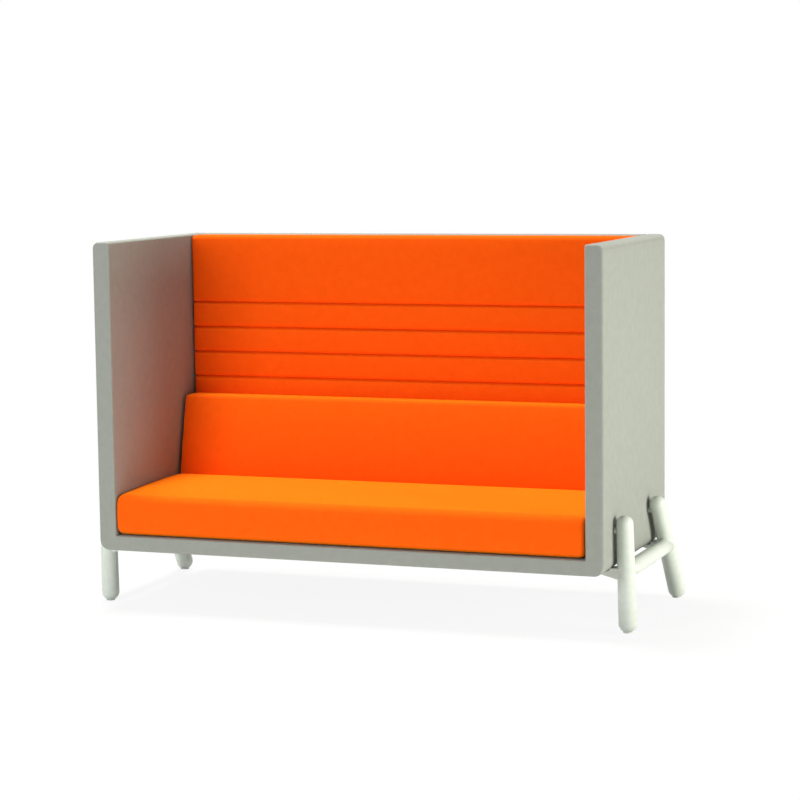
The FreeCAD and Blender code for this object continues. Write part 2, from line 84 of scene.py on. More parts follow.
class Body(Enum):
    """The bodies that pieces ride on."""

    SHELL = "shell"
    SEAT = "seat_cushion"
    LUMBAR = "lumbar_cushion"


class Plane(Enum):
    """The plane that an outline lies in, as the axes of its two coordinates and of its depth."""

    FRONT = (0, 2, 1)
    SECTION = (1, 2, 0)


@dataclass(frozen=True)
class Corner:
    """One corner of an outline.

    Attributes:
        u, v: Place in the outline's plane.
        radius: Rounding of the corner.
        swell: How far the edge after the corner bulges outwards in its middle.
        held: Whether a swelling cushion keeps the edge after the corner where it is.
        stops: Extra points on the edge after the corner, as first coordinates.
    """

    u: float
    v: float
    radius: float = 0.0
    swell: float = 0.0
    held: bool = False
    stops: tuple[float, ...] = ()


@dataclass
class Trace:
    """Points along a closed outline, with their inward directions and which of them are held."""

    points: np.ndarray
    inward: np.ndarray
    held: np.ndarray

    def lengths(self) -> np.ndarray:
        """Distance along the outline up to each point and, last, all the way round."""
        closed = np.vstack([self.points, self.points[:1]])
        steps = np.linalg.norm(np.diff(closed, axis=0), axis=1)
        return np.concatenate([[0.0], np.cumsum(steps)])


def turned_left(direction: np.ndarray) -> np.ndarray:
    """A plane direction turned a quarter turn to the left."""
    return np.array([-direction[1], direction[0]])


def edge_points(start: np.ndarray, end: np.ndarray, corner: Corner, spacing: float) -> Trace:
    """Points along one edge, without its end: a straight line plus a parabola for its swell.

    Args:
        start: First point of the edge.
        end: First point after the edge.
        corner: The corner before the edge, which gives its swell and extra stops.
        spacing: Largest distance between neighbouring points.

    Returns:
        The points of the edge.
    """
    run = end - start
    length = np.linalg.norm(run)
    inward = turned_left(run / length)
    shares = np.linspace(0, 1, max(1, math.ceil(length / spacing)) + 1)[:-1]
    if corner.stops:
        extra = (np.array(corner.stops) - start[0]) / run[0]
        shares = np.unique(np.concatenate([shares, extra]))
    bulge = 4 * corner.swell * shares * (1 - shares)
    points = start + np.outer(shares, run) - np.outer(bulge, inward)
    return Trace(points, np.tile(inward, (len(shares), 1)), np.full(len(shares), corner.held))


def bend_points(start: np.ndarray, end: np.ndarray, into: np.ndarray, out: np.ndarray, count: int) -> Trace:
    """Points round a corner, without its end: a circle that leaves one edge and joins the next.

    Args:
        start: Where the rounding leaves the first edge.
        end: Where it joins the second edge.
        into: Direction of the first edge.
        out: Direction of the second edge.
        count: Number of points.

    Returns:
        The points of the rounding, all held.
    """
    side = np.sign(into[0] * out[1] - into[1] * out[0])
    turn = side * math.acos(np.clip(into @ out, -1, 1))
    radius = np.linalg.norm(end - start) / (2 * math.sin(abs(turn) / 2))
    centre = start + side * radius * turned_left(into)
    first = start - centre
    angles = turn * np.arange(count) / count
    arms = np.outer(np.cos(angles), first) + np.outer(np.sin(angles), turned_left(first))
    return Trace(centre + arms, -side * arms / radius, np.full(count, True))


def rounded_outline(corners: list[Corner], spacing: float, bend_count: int) -> Trace:
    """Closed outline through rounded corners, listed anticlockwise.

    Args:
        corners: The corners.
        spacing: Largest distance between points on the edges.
        bend_count: Points on each rounding.

    Returns:
        The outline.
    """
    places = np.array([(corner.u, corner.v) for corner in corners])
    ahead = np.roll(places, -1, axis=0) - places
    ahead /= np.linalg.norm(ahead, axis=1)[:, None]
    behind = np.roll(ahead, 1, axis=0)
    half_turn = np.arccos(np.clip((ahead * behind).sum(1), -1, 1)) / 2
    reach = np.array([corner.radius for corner in corners]) * np.tan(half_turn)
    starts = places - behind * reach[:, None]
    ends = places + ahead * reach[:, None]
    pieces = []
    for index, corner in enumerate(corners):
        if corner.radius > 0:
            pieces.append(bend_points(starts[index], ends[index], behind[index], ahead[index], bend_count))
        following = starts[(index + 1) % len(corners)]
        pieces.append(edge_points(ends[index], following, corner, spacing))
    return Trace(*(np.concatenate(parts) for parts in zip(*((p.points, p.inward, p.held) for p in pieces))))


@dataclass
class Prism:
    """A closed form: an outline carried along its depth, with rounded end edges and filled ends.

    Each end is filled by drawing the outline in to its closing points.

    Attributes:
        plane: The outline's plane.
        outline: The outline.
        closing: For each outline point, the point that the end faces close on.
        low, high: Depth of the two ends, one number or one for each outline point.
        edge: Rounding of the end edges.
        depths: Shares of the depth at which the outline is repeated.
        fill_rows: Rows on each end face.
        bend_rows: Rows on each end's rounding.
    """

    plane: Plane
    outline: Trace
    closing: np.ndarray
    low: np.ndarray
    high: np.ndarray
    edge: float
    depths: np.ndarray
    fill_rows: int = 3
    bend_rows: int = 4

    def rows(self) -> tuple[np.ndarray, np.ndarray, np.ndarray, np.ndarray]:
        """Inset, pull to the closing points, share of the depth and shift along it, for each row."""
        pull = 1 - np.arange(self.fill_rows) / self.fill_rows
        angle = np.linspace(0, TAU / 4, self.bend_rows + 1)
        inset = self.edge * (1 - np.sin(angle))
        shift = self.edge * (1 - np.cos(angle))
        none = np.zeros(self.fill_rows)
        end_inset = np.concatenate([none + self.edge, inset])
        end_pull = np.concatenate([pull, 0 * inset])
        end_shift = np.concatenate([none, shift])
        middle = self.depths[(self.depths > 0) & (self.depths < 1)]
        return (
            np.concatenate([end_inset, 0 * middle, end_inset[::-1]]),
            np.concatenate([end_pull, 0 * middle, end_pull[::-1]]),
            np.concatenate([0 * end_shift, middle, 0 * end_shift + 1]),
            np.concatenate([end_shift, self.edge * (1 - 2 * middle), -end_shift[::-1]]),
        )

    def grid(self) -> tuple[np.ndarray, np.ndarray, np.ndarray]:
        """The surface as a grid of rows by outline points.

        Returns:
            Points, cloth lengths across and along, and which points are held.
        """
        inset, pull, share, shift = self.rows()
        flat = self.outline.points[None] + inset[:, None, None] * self.outline.inward[None]
        flat = flat + pull[:, None, None] * (self.closing[None] - flat)
        depth = self.low + (self.high - self.low) * share[:, None] + shift[:, None]
        points = np.zeros(flat.shape[:2] + (3,))
        first, second, third = self.plane.value
        points[..., first] = flat[..., 0]
        points[..., second] = flat[..., 1]
        points[..., third] = depth
        points = np.concatenate([points, points[:, :1]], axis=1)
        along = np.linalg.norm(np.diff(points, axis=0), axis=2)
        along = np.vstack([np.zeros((1, points.shape[1])), np.cumsum(along, axis=0)])
        anchor = len(inset) // 2
        along = along - along[anchor] + points[anchor, :, third]
        across = np.broadcast_to(self.outline.lengths(), along.shape)
        ends = (share == 0) | (share == 1)
        held = self.outline.held[None] | ends[:, None]
        held = np.concatenate([held, held[:, :1]], axis=1)
        return points, np.stack([across, along], axis=2), held


def grid_piece(
    name: str, points: np.ndarray, cloth: np.ndarray, held: np.ndarray | None = None
) -> bpy.types.Object:
    """A mesh piece from a grid of points, its faces turned outwards and its seams closed.

    Args:
        name: Name of the piece.
        points: Grid of rows by columns by 3.
        cloth: Lengths along the surface at each point, for patterns that follow it.
        held: Which points a swelling cushion keeps where they are.

    Returns:
        The piece, linked to the scene.
    """
    rows, columns = points.shape[:2]
    index = np.arange(rows * columns).reshape(rows, columns)
    faces = np.stack([index[:-1, :-1], index[1:, :-1], index[1:, 1:], index[:-1, 1:]], axis=2).reshape(-1, 4)
    mesh = bpy.data.meshes.new(name)
    mesh.from_pydata(points.reshape(-1, 3), [], faces)
    layer = mesh.uv_layers.new(name=UV_NAME)
    layer.data.foreach_set("uv", cloth.reshape(-1, 2)[faces.ravel()].astype(np.float32).ravel())
    if held is not None:
        mark = mesh.attributes.new(HELD_NAME, "FLOAT", "POINT")
        mark.data.foreach_set("value", held.astype(np.float32).ravel())
    form = bmesh.new()
    form.from_mesh(mesh)
    bmesh.ops.remove_doubles(form, verts=form.verts, dist=WELD_DISTANCE)
    bmesh.ops.dissolve_degenerate(form, edges=form.edges, dist=WELD_DISTANCE)
    bmesh.ops.recalc_face_normals(form, faces=form.faces)
    form.to_mesh(mesh)
    form.free()
    mesh.polygons.foreach_set("use_smooth", np.ones(len(mesh.polygons), dtype=bool))
    piece = bpy.data.objects.new(name, mesh)
    bpy.context.scene.collection.objects.link(piece)
    return piece


def even_shares(length: float, spacing: float) -> np.ndarray:
    """Shares from 0 to 1, evenly spaced at no more than a spacing over a length."""
    return np.linspace(0, 1, math.ceil(length / spacing) + 1)


def spine_line(start: tuple[float, float], end: tuple[float, float], spacing: float) -> np.ndarray:
    """Evenly spaced points of a straight spine."""
    first = np.array(start)
    run = np.array(end) - first
    count = max(1, int(np.linalg.norm(run) / spacing))
    return first + np.outer(np.linspace(0, 1, count + 1), run)


def nearest_points(points: np.ndarray, spine: np.ndarray) -> np.ndarray:
    """For each point, the point of the spine at the smallest distance."""
    gaps = np.linalg.norm(points[:, None] - spine[None], axis=2)
    return spine[gaps.argmin(1)]


def ripple(a: np.ndarray, b: np.ndarray, wave: float, seed: int) -> np.ndarray:
    """Gentle unevenness between -1 and 1: a sum of crossed sine waves with seeded phases.

    Args:
        a, b: Two coordinates on the surface.
        wave: Longest wave length.
        seed: Seed of the phases and directions.

    Returns:
        One value for each point.
    """
    draw = np.random.default_rng(seed)
    total = np.zeros(np.broadcast(a, b).shape)
    weight = 0.0
    for octave in range(RIPPLE_WAVES):
        turn, phase = draw.uniform(0, TAU, 2)
        pitch = TAU * RIPPLE_FINER**octave / wave
        share = RIPPLE_WEAKER**octave
        total = total + share * np.sin(pitch * (a * math.cos(turn) + b * math.sin(turn)) + phase)
        weight += share
    return total / weight


def dome(a: np.ndarray, b: np.ndarray) -> np.ndarray:
    """Rise over a panel, 0 at its edges and 1 in its middle: the product of two parabolas of its shares."""
    return np.clip(16 * a * (1 - a) * b * (1 - b), 0, 1)


def mesh_points(mesh: bpy.types.Mesh) -> np.ndarray:
    """The vertices of a mesh."""
    flat = np.empty(len(mesh.vertices) * 3, dtype=np.float32)
    mesh.vertices.foreach_get("co", flat)
    return flat.reshape(-1, 3).astype(float)


def place_points(mesh: bpy.types.Mesh, points: np.ndarray) -> None:
    """Moves the vertices of a mesh."""
    mesh.vertices.foreach_set("co", points.astype(np.float32).ravel())
    mesh.update()


@dataclass(frozen=True)
class Filling:
    """How a cushion's cover is blown up by its filling, in a short cloth simulation.

    Attributes:
        pressure: Push of the filling.
        cap: How far a point may move.
        frames: Steps of the simulation.
        tension: Stretch resistance of the cover.
        stiffness: Bending resistance of the cover.
    """

    pressure: float = 4.0
    cap: float = 0.008
    frames: int = 16
    tension: float = 30.0
    stiffness: float = 2.0

    def swell(self, piece: bpy.types.Object) -> None:
        """Swells the free panels of a piece and leaves its held points in place."""
        mesh = piece.data
        held = np.empty(len(mesh.vertices), dtype=np.float32)
        mesh.attributes[HELD_NAME].data.foreach_get("value", held)
        group = piece.vertex_groups.new(name=HELD_NAME)
        group.add(np.flatnonzero(held > 0.5).tolist(), 1.0, "REPLACE")
        cloth = piece.modifiers.new("filling", "CLOTH")
        settings = cloth.settings
        settings.use_pressure = True
        settings.uniform_pressure_force = self.pressure
        settings.tension_stiffness = self.tension
        settings.compression_stiffness = self.tension
        settings.bending_stiffness = self.stiffness
        settings.vertex_group_mass = HELD_NAME
        settings.effector_weights.gravity = 0.0
        cloth.point_cache.frame_start = 1
        cloth.point_cache.frame_end = self.frames
        rest = mesh_points(mesh)
        scene = bpy.context.scene
        for step in range(1, self.frames + 1):
            scene.frame_set(step)
        shaped = piece.evaluated_get(bpy.context.evaluated_depsgraph_get())
        move = mesh_points(shaped.data) - rest
        length = np.linalg.norm(move, axis=1, keepdims=True)
        soft = self.cap * np.tanh(length / self.cap) / np.maximum(length, WELD_DISTANCE)
        piece.modifiers.remove(cloth)
        piece.vertex_groups.remove(group)
        scene.frame_set(1)
        place_points(mesh, rest + move * soft)
        log.info("%s swells by up to %.1f mm", piece.name, 1000 * (length * soft).max())


def rgba(colour: Colour) -> tuple[float, float, float, float]:
    """A colour with full cover."""
    return (*colour, 1.0)


class Graph:
    """Adds and joins the nodes of one shader tree."""

    def __init__(self, tree: bpy.types.NodeTree) -> None:
        """Starts from an empty tree."""
        self.tree = tree
        tree.nodes.clear()

    def add(self, kind: str, inputs: dict | None = None, **settings) -> bpy.types.Node:
        """Adds a node.

        Args:
            kind: Node type without its ShaderNode prefix, or a full type name.
            inputs: Values or output sockets for its inputs, by name or number.
            settings: Properties of the node.

        Returns:
            The node.
        """
        name = kind if kind.startswith("Node") else "ShaderNode" + kind
        node = self.tree.nodes.new(name)
        for key, value in settings.items():
            setattr(node, key, value)
        for key, value in (inputs or {}).items():
            if isinstance(value, bpy.types.NodeSocket):
                self.tree.links.new(value, node.inputs[key])
            else:
                node.inputs[key].default_value = value
        return node

    def math(self, operation: str, *values: float | bpy.types.NodeSocket) -> bpy.types.NodeSocket:
        """The result of a Math node on values or sockets."""
        return self.add("Math", dict(enumerate(values)), operation=operation).outputs[0]

    def tone(self, share: bpy.types.NodeSocket, dark: Colour, light: Colour) -> bpy.types.NodeSocket:
        """A colour between two tones."""
        inputs = {0: share, 6: rgba(dark), 7: rgba(light)}
        return self.add("Mix", inputs, data_type="RGBA").outputs[2]

    def mottle(self, effects: "Effects", size: float) -> bpy.types.Node:
        """The mottled tone of a given size on the piece's own coordinates."""
        place = self.add("TexCoord")
        spread = {"Vector": place.outputs["Object"], "Size": size}
        return self.add("Group", spread, node_tree=effects.mottle)

    def surface(self, inputs: dict) -> None:
        """Ends a material in a Principled shader with the given inputs."""
        shader = self.add("BsdfPrincipled", inputs)
        self.add("OutputMaterial", {"Surface": shader.outputs[0]})


def effect_group(name: str, inputs: dict[str, str], outputs: dict[str, str]) -> tuple[Graph, dict, dict]:
    """An empty shader node group with named sockets.

    Args:
        name: Name of the group.
        inputs, outputs: Socket types by name.

    Returns:
        The group's graph, its input sockets to read and its output sockets to write, by name.
    """
    tree = bpy.data.node_groups.new(name, "ShaderNodeTree")
    for key, kind in inputs.items():
        tree.interface.new_socket(key, in_out="INPUT", socket_type=kind)
    for key, kind in outputs.items():
        tree.interface.new_socket(key, in_out="OUTPUT", socket_type=kind)
    graph = Graph(tree)
    source = graph.add("NodeGroupInput")
    target = graph.add("NodeGroupOutput")
    return graph, {key: source.outputs[key] for key in inputs}, {key: target.inputs[key] for key in outputs}


class Effects:
    """The surface effects that several finishes share, each one node group."""

    def __init__(self) -> None:
        """Builds the groups."""
        self.weave = self.build_weave()
        self.mottle = self.build_mottle()
        self.grain = self.build_grain()

    @staticmethod
    def build_weave() -> bpy.types.NodeTree:
        """Plain weave: the product of two sines, one along each thread direction."""
        graph, given, made = effect_group(
            "woven threads",
            {"Vector": "NodeSocketVector", "Pitch": "NodeSocketFloat"},
            {"Crown": "NodeSocketFloat"},
        )
        scale = graph.math("DIVIDE", TAU, given["Pitch"])
        spread = graph.add("VectorMath", {0: given["Vector"], "Scale": scale}, operation="SCALE")
        parts = graph.add("SeparateXYZ", {0: spread.outputs[0]})
        warp = graph.math("SINE", parts.outputs[0])
        weft = graph.math("SINE", parts.outputs[1])
        crown = graph.math("MULTIPLY_ADD", graph.math("MULTIPLY", warp, weft), 0.5, 0.5)
        graph.tree.links.new(crown, made["Crown"])
        return graph.tree

    @staticmethod
    def build_mottle() -> bpy.types.NodeTree:
        """Uneven tone: coarse and fine noise, as in mixed fibres or a brushed coat."""
        graph, given, made = effect_group(
            "mottled tone",
            {"Vector": "NodeSocketVector", "Size": "NodeSocketFloat"},
            {"Tone": "NodeSocketFloat", "Height": "NodeSocketFloat"},
        )
        scale = graph.math("DIVIDE", 1.0, given["Size"])
        coarse = graph.add("TexNoise", {"Vector": given["Vector"], "Scale": scale, "Detail": 3.0})
        finer = graph.math("MULTIPLY", scale, 6.0)
        fine = graph.add("TexNoise", {"Vector": given["Vector"], "Scale": finer, "Detail": 2.0})
        both = graph.math("ADD", coarse.outputs["Fac"], fine.outputs["Fac"])
        tone = graph.add(
            "MapRange", {"Value": both, "From Min": 0.7, "From Max": 1.3, "To Min": 0.0, "To Max": 1.0}
        )
        graph.tree.links.new(tone.outputs[0], made["Tone"])
        graph.tree.links.new(fine.outputs["Fac"], made["Height"])
        return graph.tree

    @staticmethod
    def build_grain() -> bpy.types.NodeTree:
        """Long grain: noise stretched along one axis by the mapping of its vector."""
        graph, given, made = effect_group(
            "long grain",
            {"Vector": "NodeSocketVector", "Size": "NodeSocketFloat"},
            {"Tone": "NodeSocketFloat"},
        )
        scale = graph.math("DIVIDE", 1.0, given["Size"])
        bands = graph.add(
            "TexNoise", {"Vector": given["Vector"], "Scale": scale, "Detail": 6.0, "Distortion": 0.6}
        )
        tone = graph.add("MapRange", {"Value": bands.outputs["Fac"], "From Min": 0.3, "From Max": 0.7})
        graph.tree.links.new(tone.outputs[0], made["Tone"])
        return graph.tree


def new_material(name: str) -> tuple[bpy.types.Material, Graph]:
    """An empty node material and its graph."""
    material = bpy.data.materials.new(name)
    material.use_nodes = True
    return material, Graph(material.node_tree)


@dataclass(frozen=True)
class Cloth:
    """Woven upholstery cloth.

    Attributes:
        name: Name of the finish.
        dark, light: The two tones between which its fibres vary at random and its threads are painted,
            lighter on their crowns and darker between them as painted shade.
        sheen: Strength of the fuzz seen at a low angle.
        fuzz: Tint of that fuzz.
        pitch: Length of one over-and-under of its threads.
        mottle: Size of the uneven tone.
        relief: Depth of the threads.
        crown_shade_share: Share in the mixed tone of the painted shade of the threads, lighter on their
            crowns and darker in the gaps between them; the random mottle has the rest.
        rough, rough_drop: Largest roughness, and how far the mottle lowers it.
    """

    name: str
    dark: Colour
    light: Colour
    sheen: float
    fuzz: Colour
    pitch: float = 0.0022
    mottle: float = 0.03
    relief: float = 0.0004
    crown_shade_share: float = 0.45
    rough: float = 0.95
    rough_drop: float = 0.08

    def material(self, effects: Effects) -> bpy.types.Material:
        """The finish: mixed fibre tones with painted shade between the threads, thread relief, soft
        unevenness and sheen.
        """
        material, graph = new_material(self.name)
        cloth = graph.add("UVMap", uv_map=UV_NAME)
        weave = graph.add("Group", {"Vector": cloth.outputs[0], "Pitch": self.pitch}, node_tree=effects.weave)
        mottle = graph.mottle(effects, self.mottle)
        mottle_part = graph.math("MULTIPLY", mottle.outputs["Tone"], 1 - self.crown_shade_share)
        # Painted shade: the thread crowns are painted lighter and the gaps between them darker, on top of the
        # random fibre mottle.
        share = graph.math("MULTIPLY_ADD", weave.outputs["Crown"], self.crown_shade_share, mottle_part)
        rough = graph.math("MULTIPLY_ADD", mottle.outputs["Tone"], -self.rough_drop, self.rough)
        height = graph.math("MULTIPLY_ADD", mottle.outputs["Height"], 0.5, weave.outputs["Crown"])
        bump = graph.add("Bump", {"Height": height, "Strength": 0.5, "Distance": self.relief})
        graph.surface(
            {
                "Base Color": graph.tone(share, self.dark, self.light),
                "Roughness": rough,
                "Normal": bump.outputs[0],
                "Specular IOR Level": 0.02,
                "Sheen Weight": self.sheen,
                "Sheen Roughness": 0.5,
                "Sheen Tint": rgba(self.fuzz),
            }
        )
        return material


@dataclass(frozen=True)
class Coat:
    """A painted, moulded or plated coat with a faint uneven skin.

    Attributes:
        name: Name of the finish.
        dark, light: The two tones of the coat.
        rough, rough_range: Middle of its roughness, and how far it ranges.
        metal: Whether it is bare metal.
        mottle: Size of the uneven tone.
        relief: Depth of the uneven skin.
    """

    name: str
    dark: Colour
    light: Colour
    rough: float
    metal: float = 0.0
    mottle: float = 0.02
    relief: float = 0.00005
    rough_range: float = 0.1

    def material(self, effects: Effects) -> bpy.types.Material:
        """The finish: slightly uneven tone, roughness and skin."""
        material, graph = new_material(self.name)
        mottle = graph.mottle(effects, self.mottle)
        tone = mottle.outputs["Tone"]
        lowest = self.rough - self.rough_range / 2
        skin = {"Height": mottle.outputs["Height"], "Strength": 0.4, "Distance": self.relief}
        graph.surface(
            {
                "Base Color": graph.tone(tone, self.dark, self.light),
                "Roughness": graph.math("MULTIPLY_ADD", tone, self.rough_range, lowest),
                "Normal": graph.add("Bump", skin).outputs[0],
                "Metallic": self.metal,
            }
        )
        return material


@dataclass(frozen=True)
class Board:
    """Timber or board with long grain.

    Attributes:
        name: Name of the finish.
        dark, light: Tones of the grain.
        stretch: Scale of the grain along X, Y and Z, smallest along the grain.
        size: Width of the grain.
        relief: Depth of the grain.
    """

    name: str
    dark: Colour
    light: Colour
    stretch: tuple[float, float, float]
    size: float
    relief: float = 0.0003

    def material(self, effects: Effects) -> bpy.types.Material:
        """The finish: grain tones with a matching relief."""
        material, graph = new_material(self.name)
        place = graph.add("TexCoord")
        along = graph.add("Mapping", {"Vector": place.outputs["Object"], "Scale": self.stretch})
        grain = graph.add("Group", {"Vector": along.outputs[0], "Size": self.size}, node_tree=effects.grain)
        colour = graph.tone(grain.outputs["Tone"], self.dark, self.light)
        bump = graph.add("Bump", {"Height": grain.outputs["Tone"], "Strength": 0.3, "Distance": self.relief})
        graph.surface({"Base Color": colour, "Roughness": 0.7, "Normal": bump.outputs[0]})
        return material


FINISHES = {
    Slot.GREY_FABRIC: Cloth("grey fabric", (0.28, 0.295, 0.265), (0.335, 0.35, 0.32), 0.06, (0.8, 0.8, 0.75)),
    Slot.ORANGE_FABRIC: Cloth(
        "orange fabric", (0.90, 0.092, 0.003), (0.98, 0.117, 0.006), 0.45, (1.0, 0.8, 0.02)
    ),
    Slot.FOAM: Cloth("foam", (0.70, 0.62, 0.40), (0.85, 0.78, 0.55), 0.0, WHITE),
    Slot.DUST_CLOTH: Cloth("dust cloth", (0.015, 0.015, 0.016), (0.03, 0.03, 0.032), 0.1, (0.3, 0.3, 0.3)),
    Slot.HOOK_TAPE: Coat("hook tape", (0.02, 0.02, 0.02), (0.05, 0.05, 0.05), 0.9, relief=0.0005),
    Slot.TIMBER: Board("timber", (0.42, 0.27, 0.13), (0.66, 0.48, 0.28), (1.0, 8.0, 8.0), 0.12),
    Slot.HARDBOARD: Board("hardboard", (0.17, 0.10, 0.05), (0.27, 0.17, 0.09), (1.0, 1.0, 1.0), 0.01),
    Slot.WHITE_PAINT: Coat("white paint", (0.58, 0.63, 0.57), (0.64, 0.69, 0.63), 0.35),
    Slot.GLIDE_PLASTIC: Coat("glide plastic", (0.52, 0.55, 0.51), (0.60, 0.63, 0.59), 0.6, relief=0.0002),
    Slot.ZINC_STEEL: Coat("zinc steel", (0.45, 0.46, 0.47), (0.62, 0.62, 0.60), 0.35, metal=1.0),
}
PAD_CLOTH = replace(FINISHES[Slot.ORANGE_FABRIC], name="orange fabric drawn tight", sheen=0.08)


class Wardrobe:
    """The finished materials by slot, and the dressing of pieces."""

    def __init__(self) -> None:
        """Builds the materials of all finishes."""
        effects = Effects()
        self.materials = {slot: finish.material(effects) for slot, finish in FINISHES.items()}
        self.pad_cloth = PAD_CLOTH.material(effects)

    def dress(self, piece: bpy.types.Object, slot: Slot, body: Body, *nodes: str) -> None:
        """Gives a new piece its finish and body.

        Args:
            piece: The piece.
            slot: Its material slot.
            body: The body that it rides on.
            nodes: The CAD nodes that it stands for.
        """
        piece.data.materials.clear()
        piece.data.materials.append(self.materials[slot])
        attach(piece, body.value)
        if nodes:
            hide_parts(*nodes)
        log.info("%s: %d faces, on %s", piece.name, len(piece.data.polygons), body.value)

    def dress_frame(self) -> None:
        """Gives each carried CAD node the finish of its slot in the record."""
        for subpart in frame["record"]["subparts"]:
            node = frame["nodes"][subpart["node"]]
            if node.hide_render:
                continue
            node.data.materials.clear()
            node.data.materials.append(self.materials[Slot(subpart["material_slot"])])


@dataclass
class Shell:
    """Grey fabric over the two sides, the base between them and the back.

    Attributes:
        foot_radius: Rounding of the outer lower corners.
        rim_radius, rim_inner_radius: Rounding of the top's outer and inner edges.
        nook_radius: Rounding where the base meets the sides.
        edge: Rounding of the front and rear edges.
        spacing: Largest distance between surface points.
        spine_spacing: Distance between the points that the end faces close on.
        bends: Points on each rounding.
        loft: How far the padding lifts the fabric in the middle of a panel.
        unevenness: Share by which that lift varies.
        recess: Depth of the opening in the underside, behind the dust cover.
        step: Width of the opening's turned-in edge.
        sheet_thickness, sheet_sag, sheet_unevenness: The dust cover's thickness, its sag in the middle
            and the share by which the sag varies.
    """

    foot_radius: float = 0.034
    rim_radius: float = 0.020
    rim_inner_radius: float = 0.008
    nook_radius: float = 0.003
    edge: float = 0.006
    spacing: float = 0.03
    spine_spacing: float = 0.095
    bends: int = 8
    loft: float = 0.0012
    unevenness: float = 0.5
    recess: float = 0.008
    step: float = 0.001
    sheet_thickness: float = 0.0012
    sheet_sag: float = 0.002
    sheet_unevenness: float = 0.4

    def __post_init__(self) -> None:
        """Takes the places from the frame."""
        low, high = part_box("right_side_cover")
        self.inner, self.front, self.bottom = low
        self.outer, self.rear, self.top = high
        self.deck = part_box("base_cover")[1].z
        self.back_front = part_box("back_cover")[0].y
        self.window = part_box("dust_cover")

    def build(self, wardrobe: Wardrobe) -> None:
        """Builds and dresses the shell's pieces."""
        body = self.build_body()
        wardrobe.dress(
            body, Slot.GREY_FABRIC, Body.SHELL, "left_side_cover", "right_side_cover", "base_cover"
        )
        back = self.build_back()
        wardrobe.dress(back, Slot.GREY_FABRIC, Body.SHELL, "back_cover")
        dust = self.build_dust_cover()
        wardrobe.dress(dust, Slot.DUST_CLOTH, Body.SHELL, "dust_cover")

    def build_body(self) -> bpy.types.Object:
        """Sides and base in one cover: a U outline carried from front to rear."""
        reach = self.window[1].x + self.step
        jumps = (reach, reach - self.step, self.inner + self.step, self.inner)
        stops = tuple(sorted([-x for x in jumps] + list(jumps)))
        corners = [
            Corner(-self.outer, self.bottom, self.foot_radius, stops=stops),
            Corner(self.outer, self.bottom, self.foot_radius),
            Corner(self.outer, self.top, self.rim_radius),
            Corner(self.inner, self.top, self.rim_inner_radius),
            Corner(self.inner, self.deck, self.nook_radius),
            Corner(-self.inner, self.deck, self.nook_radius),
            Corner(-self.inner, self.top, self.rim_inner_radius),
            Corner(-self.outer, self.top, self.rim_radius),
        ]
        outline = rounded_outline(corners, self.spacing, self.bends)
        middle = (self.inner + self.outer) / 2
        half = (self.outer - self.inner) / 2
        height = (self.bottom + self.deck) / 2
        base = spine_line((-middle, height), (middle, height), self.spine_spacing)
        right = spine_line((middle, height), (middle, self.top - half), self.spine_spacing)
        spine = np.vstack([base, right, right * (-1, 1)])
        across, up = np.abs(outline.points[:, 0]), outline.points[:, 1]
        between = (across < self.inner + self.step / 2) & (up < self.deck + self.step)
        rear = np.where(between, self.back_front, self.rear)
        closing = nearest_points(outline.points, spine)
        # Where the base ends before the sides do, both close on the line between them
        beside = (across < self.inner + 1.5 * self.step) & (up < self.deck + 1.5 * self.step)
        beside &= np.abs(closing[:, 0]) > self.inner
        closing[beside, 0] = np.sign(closing[beside, 0]) * (self.inner + self.step)
        low, high = self.window
        depth = self.rear - self.front
        cuts = (np.array([low.y - self.step, low.y, high.y, high.y + self.step]) - self.front) / depth
        depths = np.unique(np.concatenate([even_shares(depth, self.spacing), cuts]))
        form = Prism(Plane.FRONT, outline, closing, self.front, rear, self.edge, depths)
        points, cloth, _ = form.grid()
        x, y, z = points[..., 0], points[..., 1], points[..., 2]
        along = (y - self.front) / depth
        rise = (z - self.bottom) / (self.top - self.bottom)
        uneven = 1 + self.unevenness * ripple(y, z, wave=0.35, seed=4)
        side = np.abs(x) > middle
        points[..., 0] = x + np.where(side, np.sign(x), 0) * self.loft * dome(along, rise) * uneven
        margin = self.step / 2
        opened = (np.abs(x) < high.x + margin) & (y > low.y - margin) & (y < high.y + margin)
        opened &= z < self.bottom + self.edge / 2
        points[..., 2] = z + self.recess * opened
        return grid_piece("shell_cover", points, cloth)

    def build_back(self) -> bpy.types.Object:
        """Back cover: its upright section carried from side to side."""
        corners = [
            Corner(self.back_front, self.bottom, self.nook_radius),
            Corner(self.rear, self.bottom, self.edge),
            Corner(self.rear, self.top, self.rim_radius),
            Corner(self.back_front, self.top, self.rim_inner_radius),
        ]
        outline = rounded_outline(corners, self.spacing, self.bends)
        middle = (self.back_front + self.rear) / 2
        half = (self.rear - self.back_front) / 2
        spine = spine_line((middle, self.bottom + half), (middle, self.top - half), self.spine_spacing)
        depths = even_shares(2 * self.inner, self.spacing)
        closing = nearest_points(outline.points, spine)
        form = Prism(Plane.SECTION, outline, closing, -self.inner, self.inner, self.nook_radius, depths)
        points, cloth, _ = form.grid()
        x, y, z = points[..., 0], points[..., 1], points[..., 2]
        across = (x + self.inner) / (2 * self.inner)
        rise = (z - self.bottom) / (self.top - self.bottom)
        uneven = 1 + self.unevenness * ripple(x, z, wave=0.4, seed=9)
        points[..., 1] = y + (y > middle) * self.loft * dome(across, rise) * uneven
        return grid_piece("back_panel_cover", points, cloth)

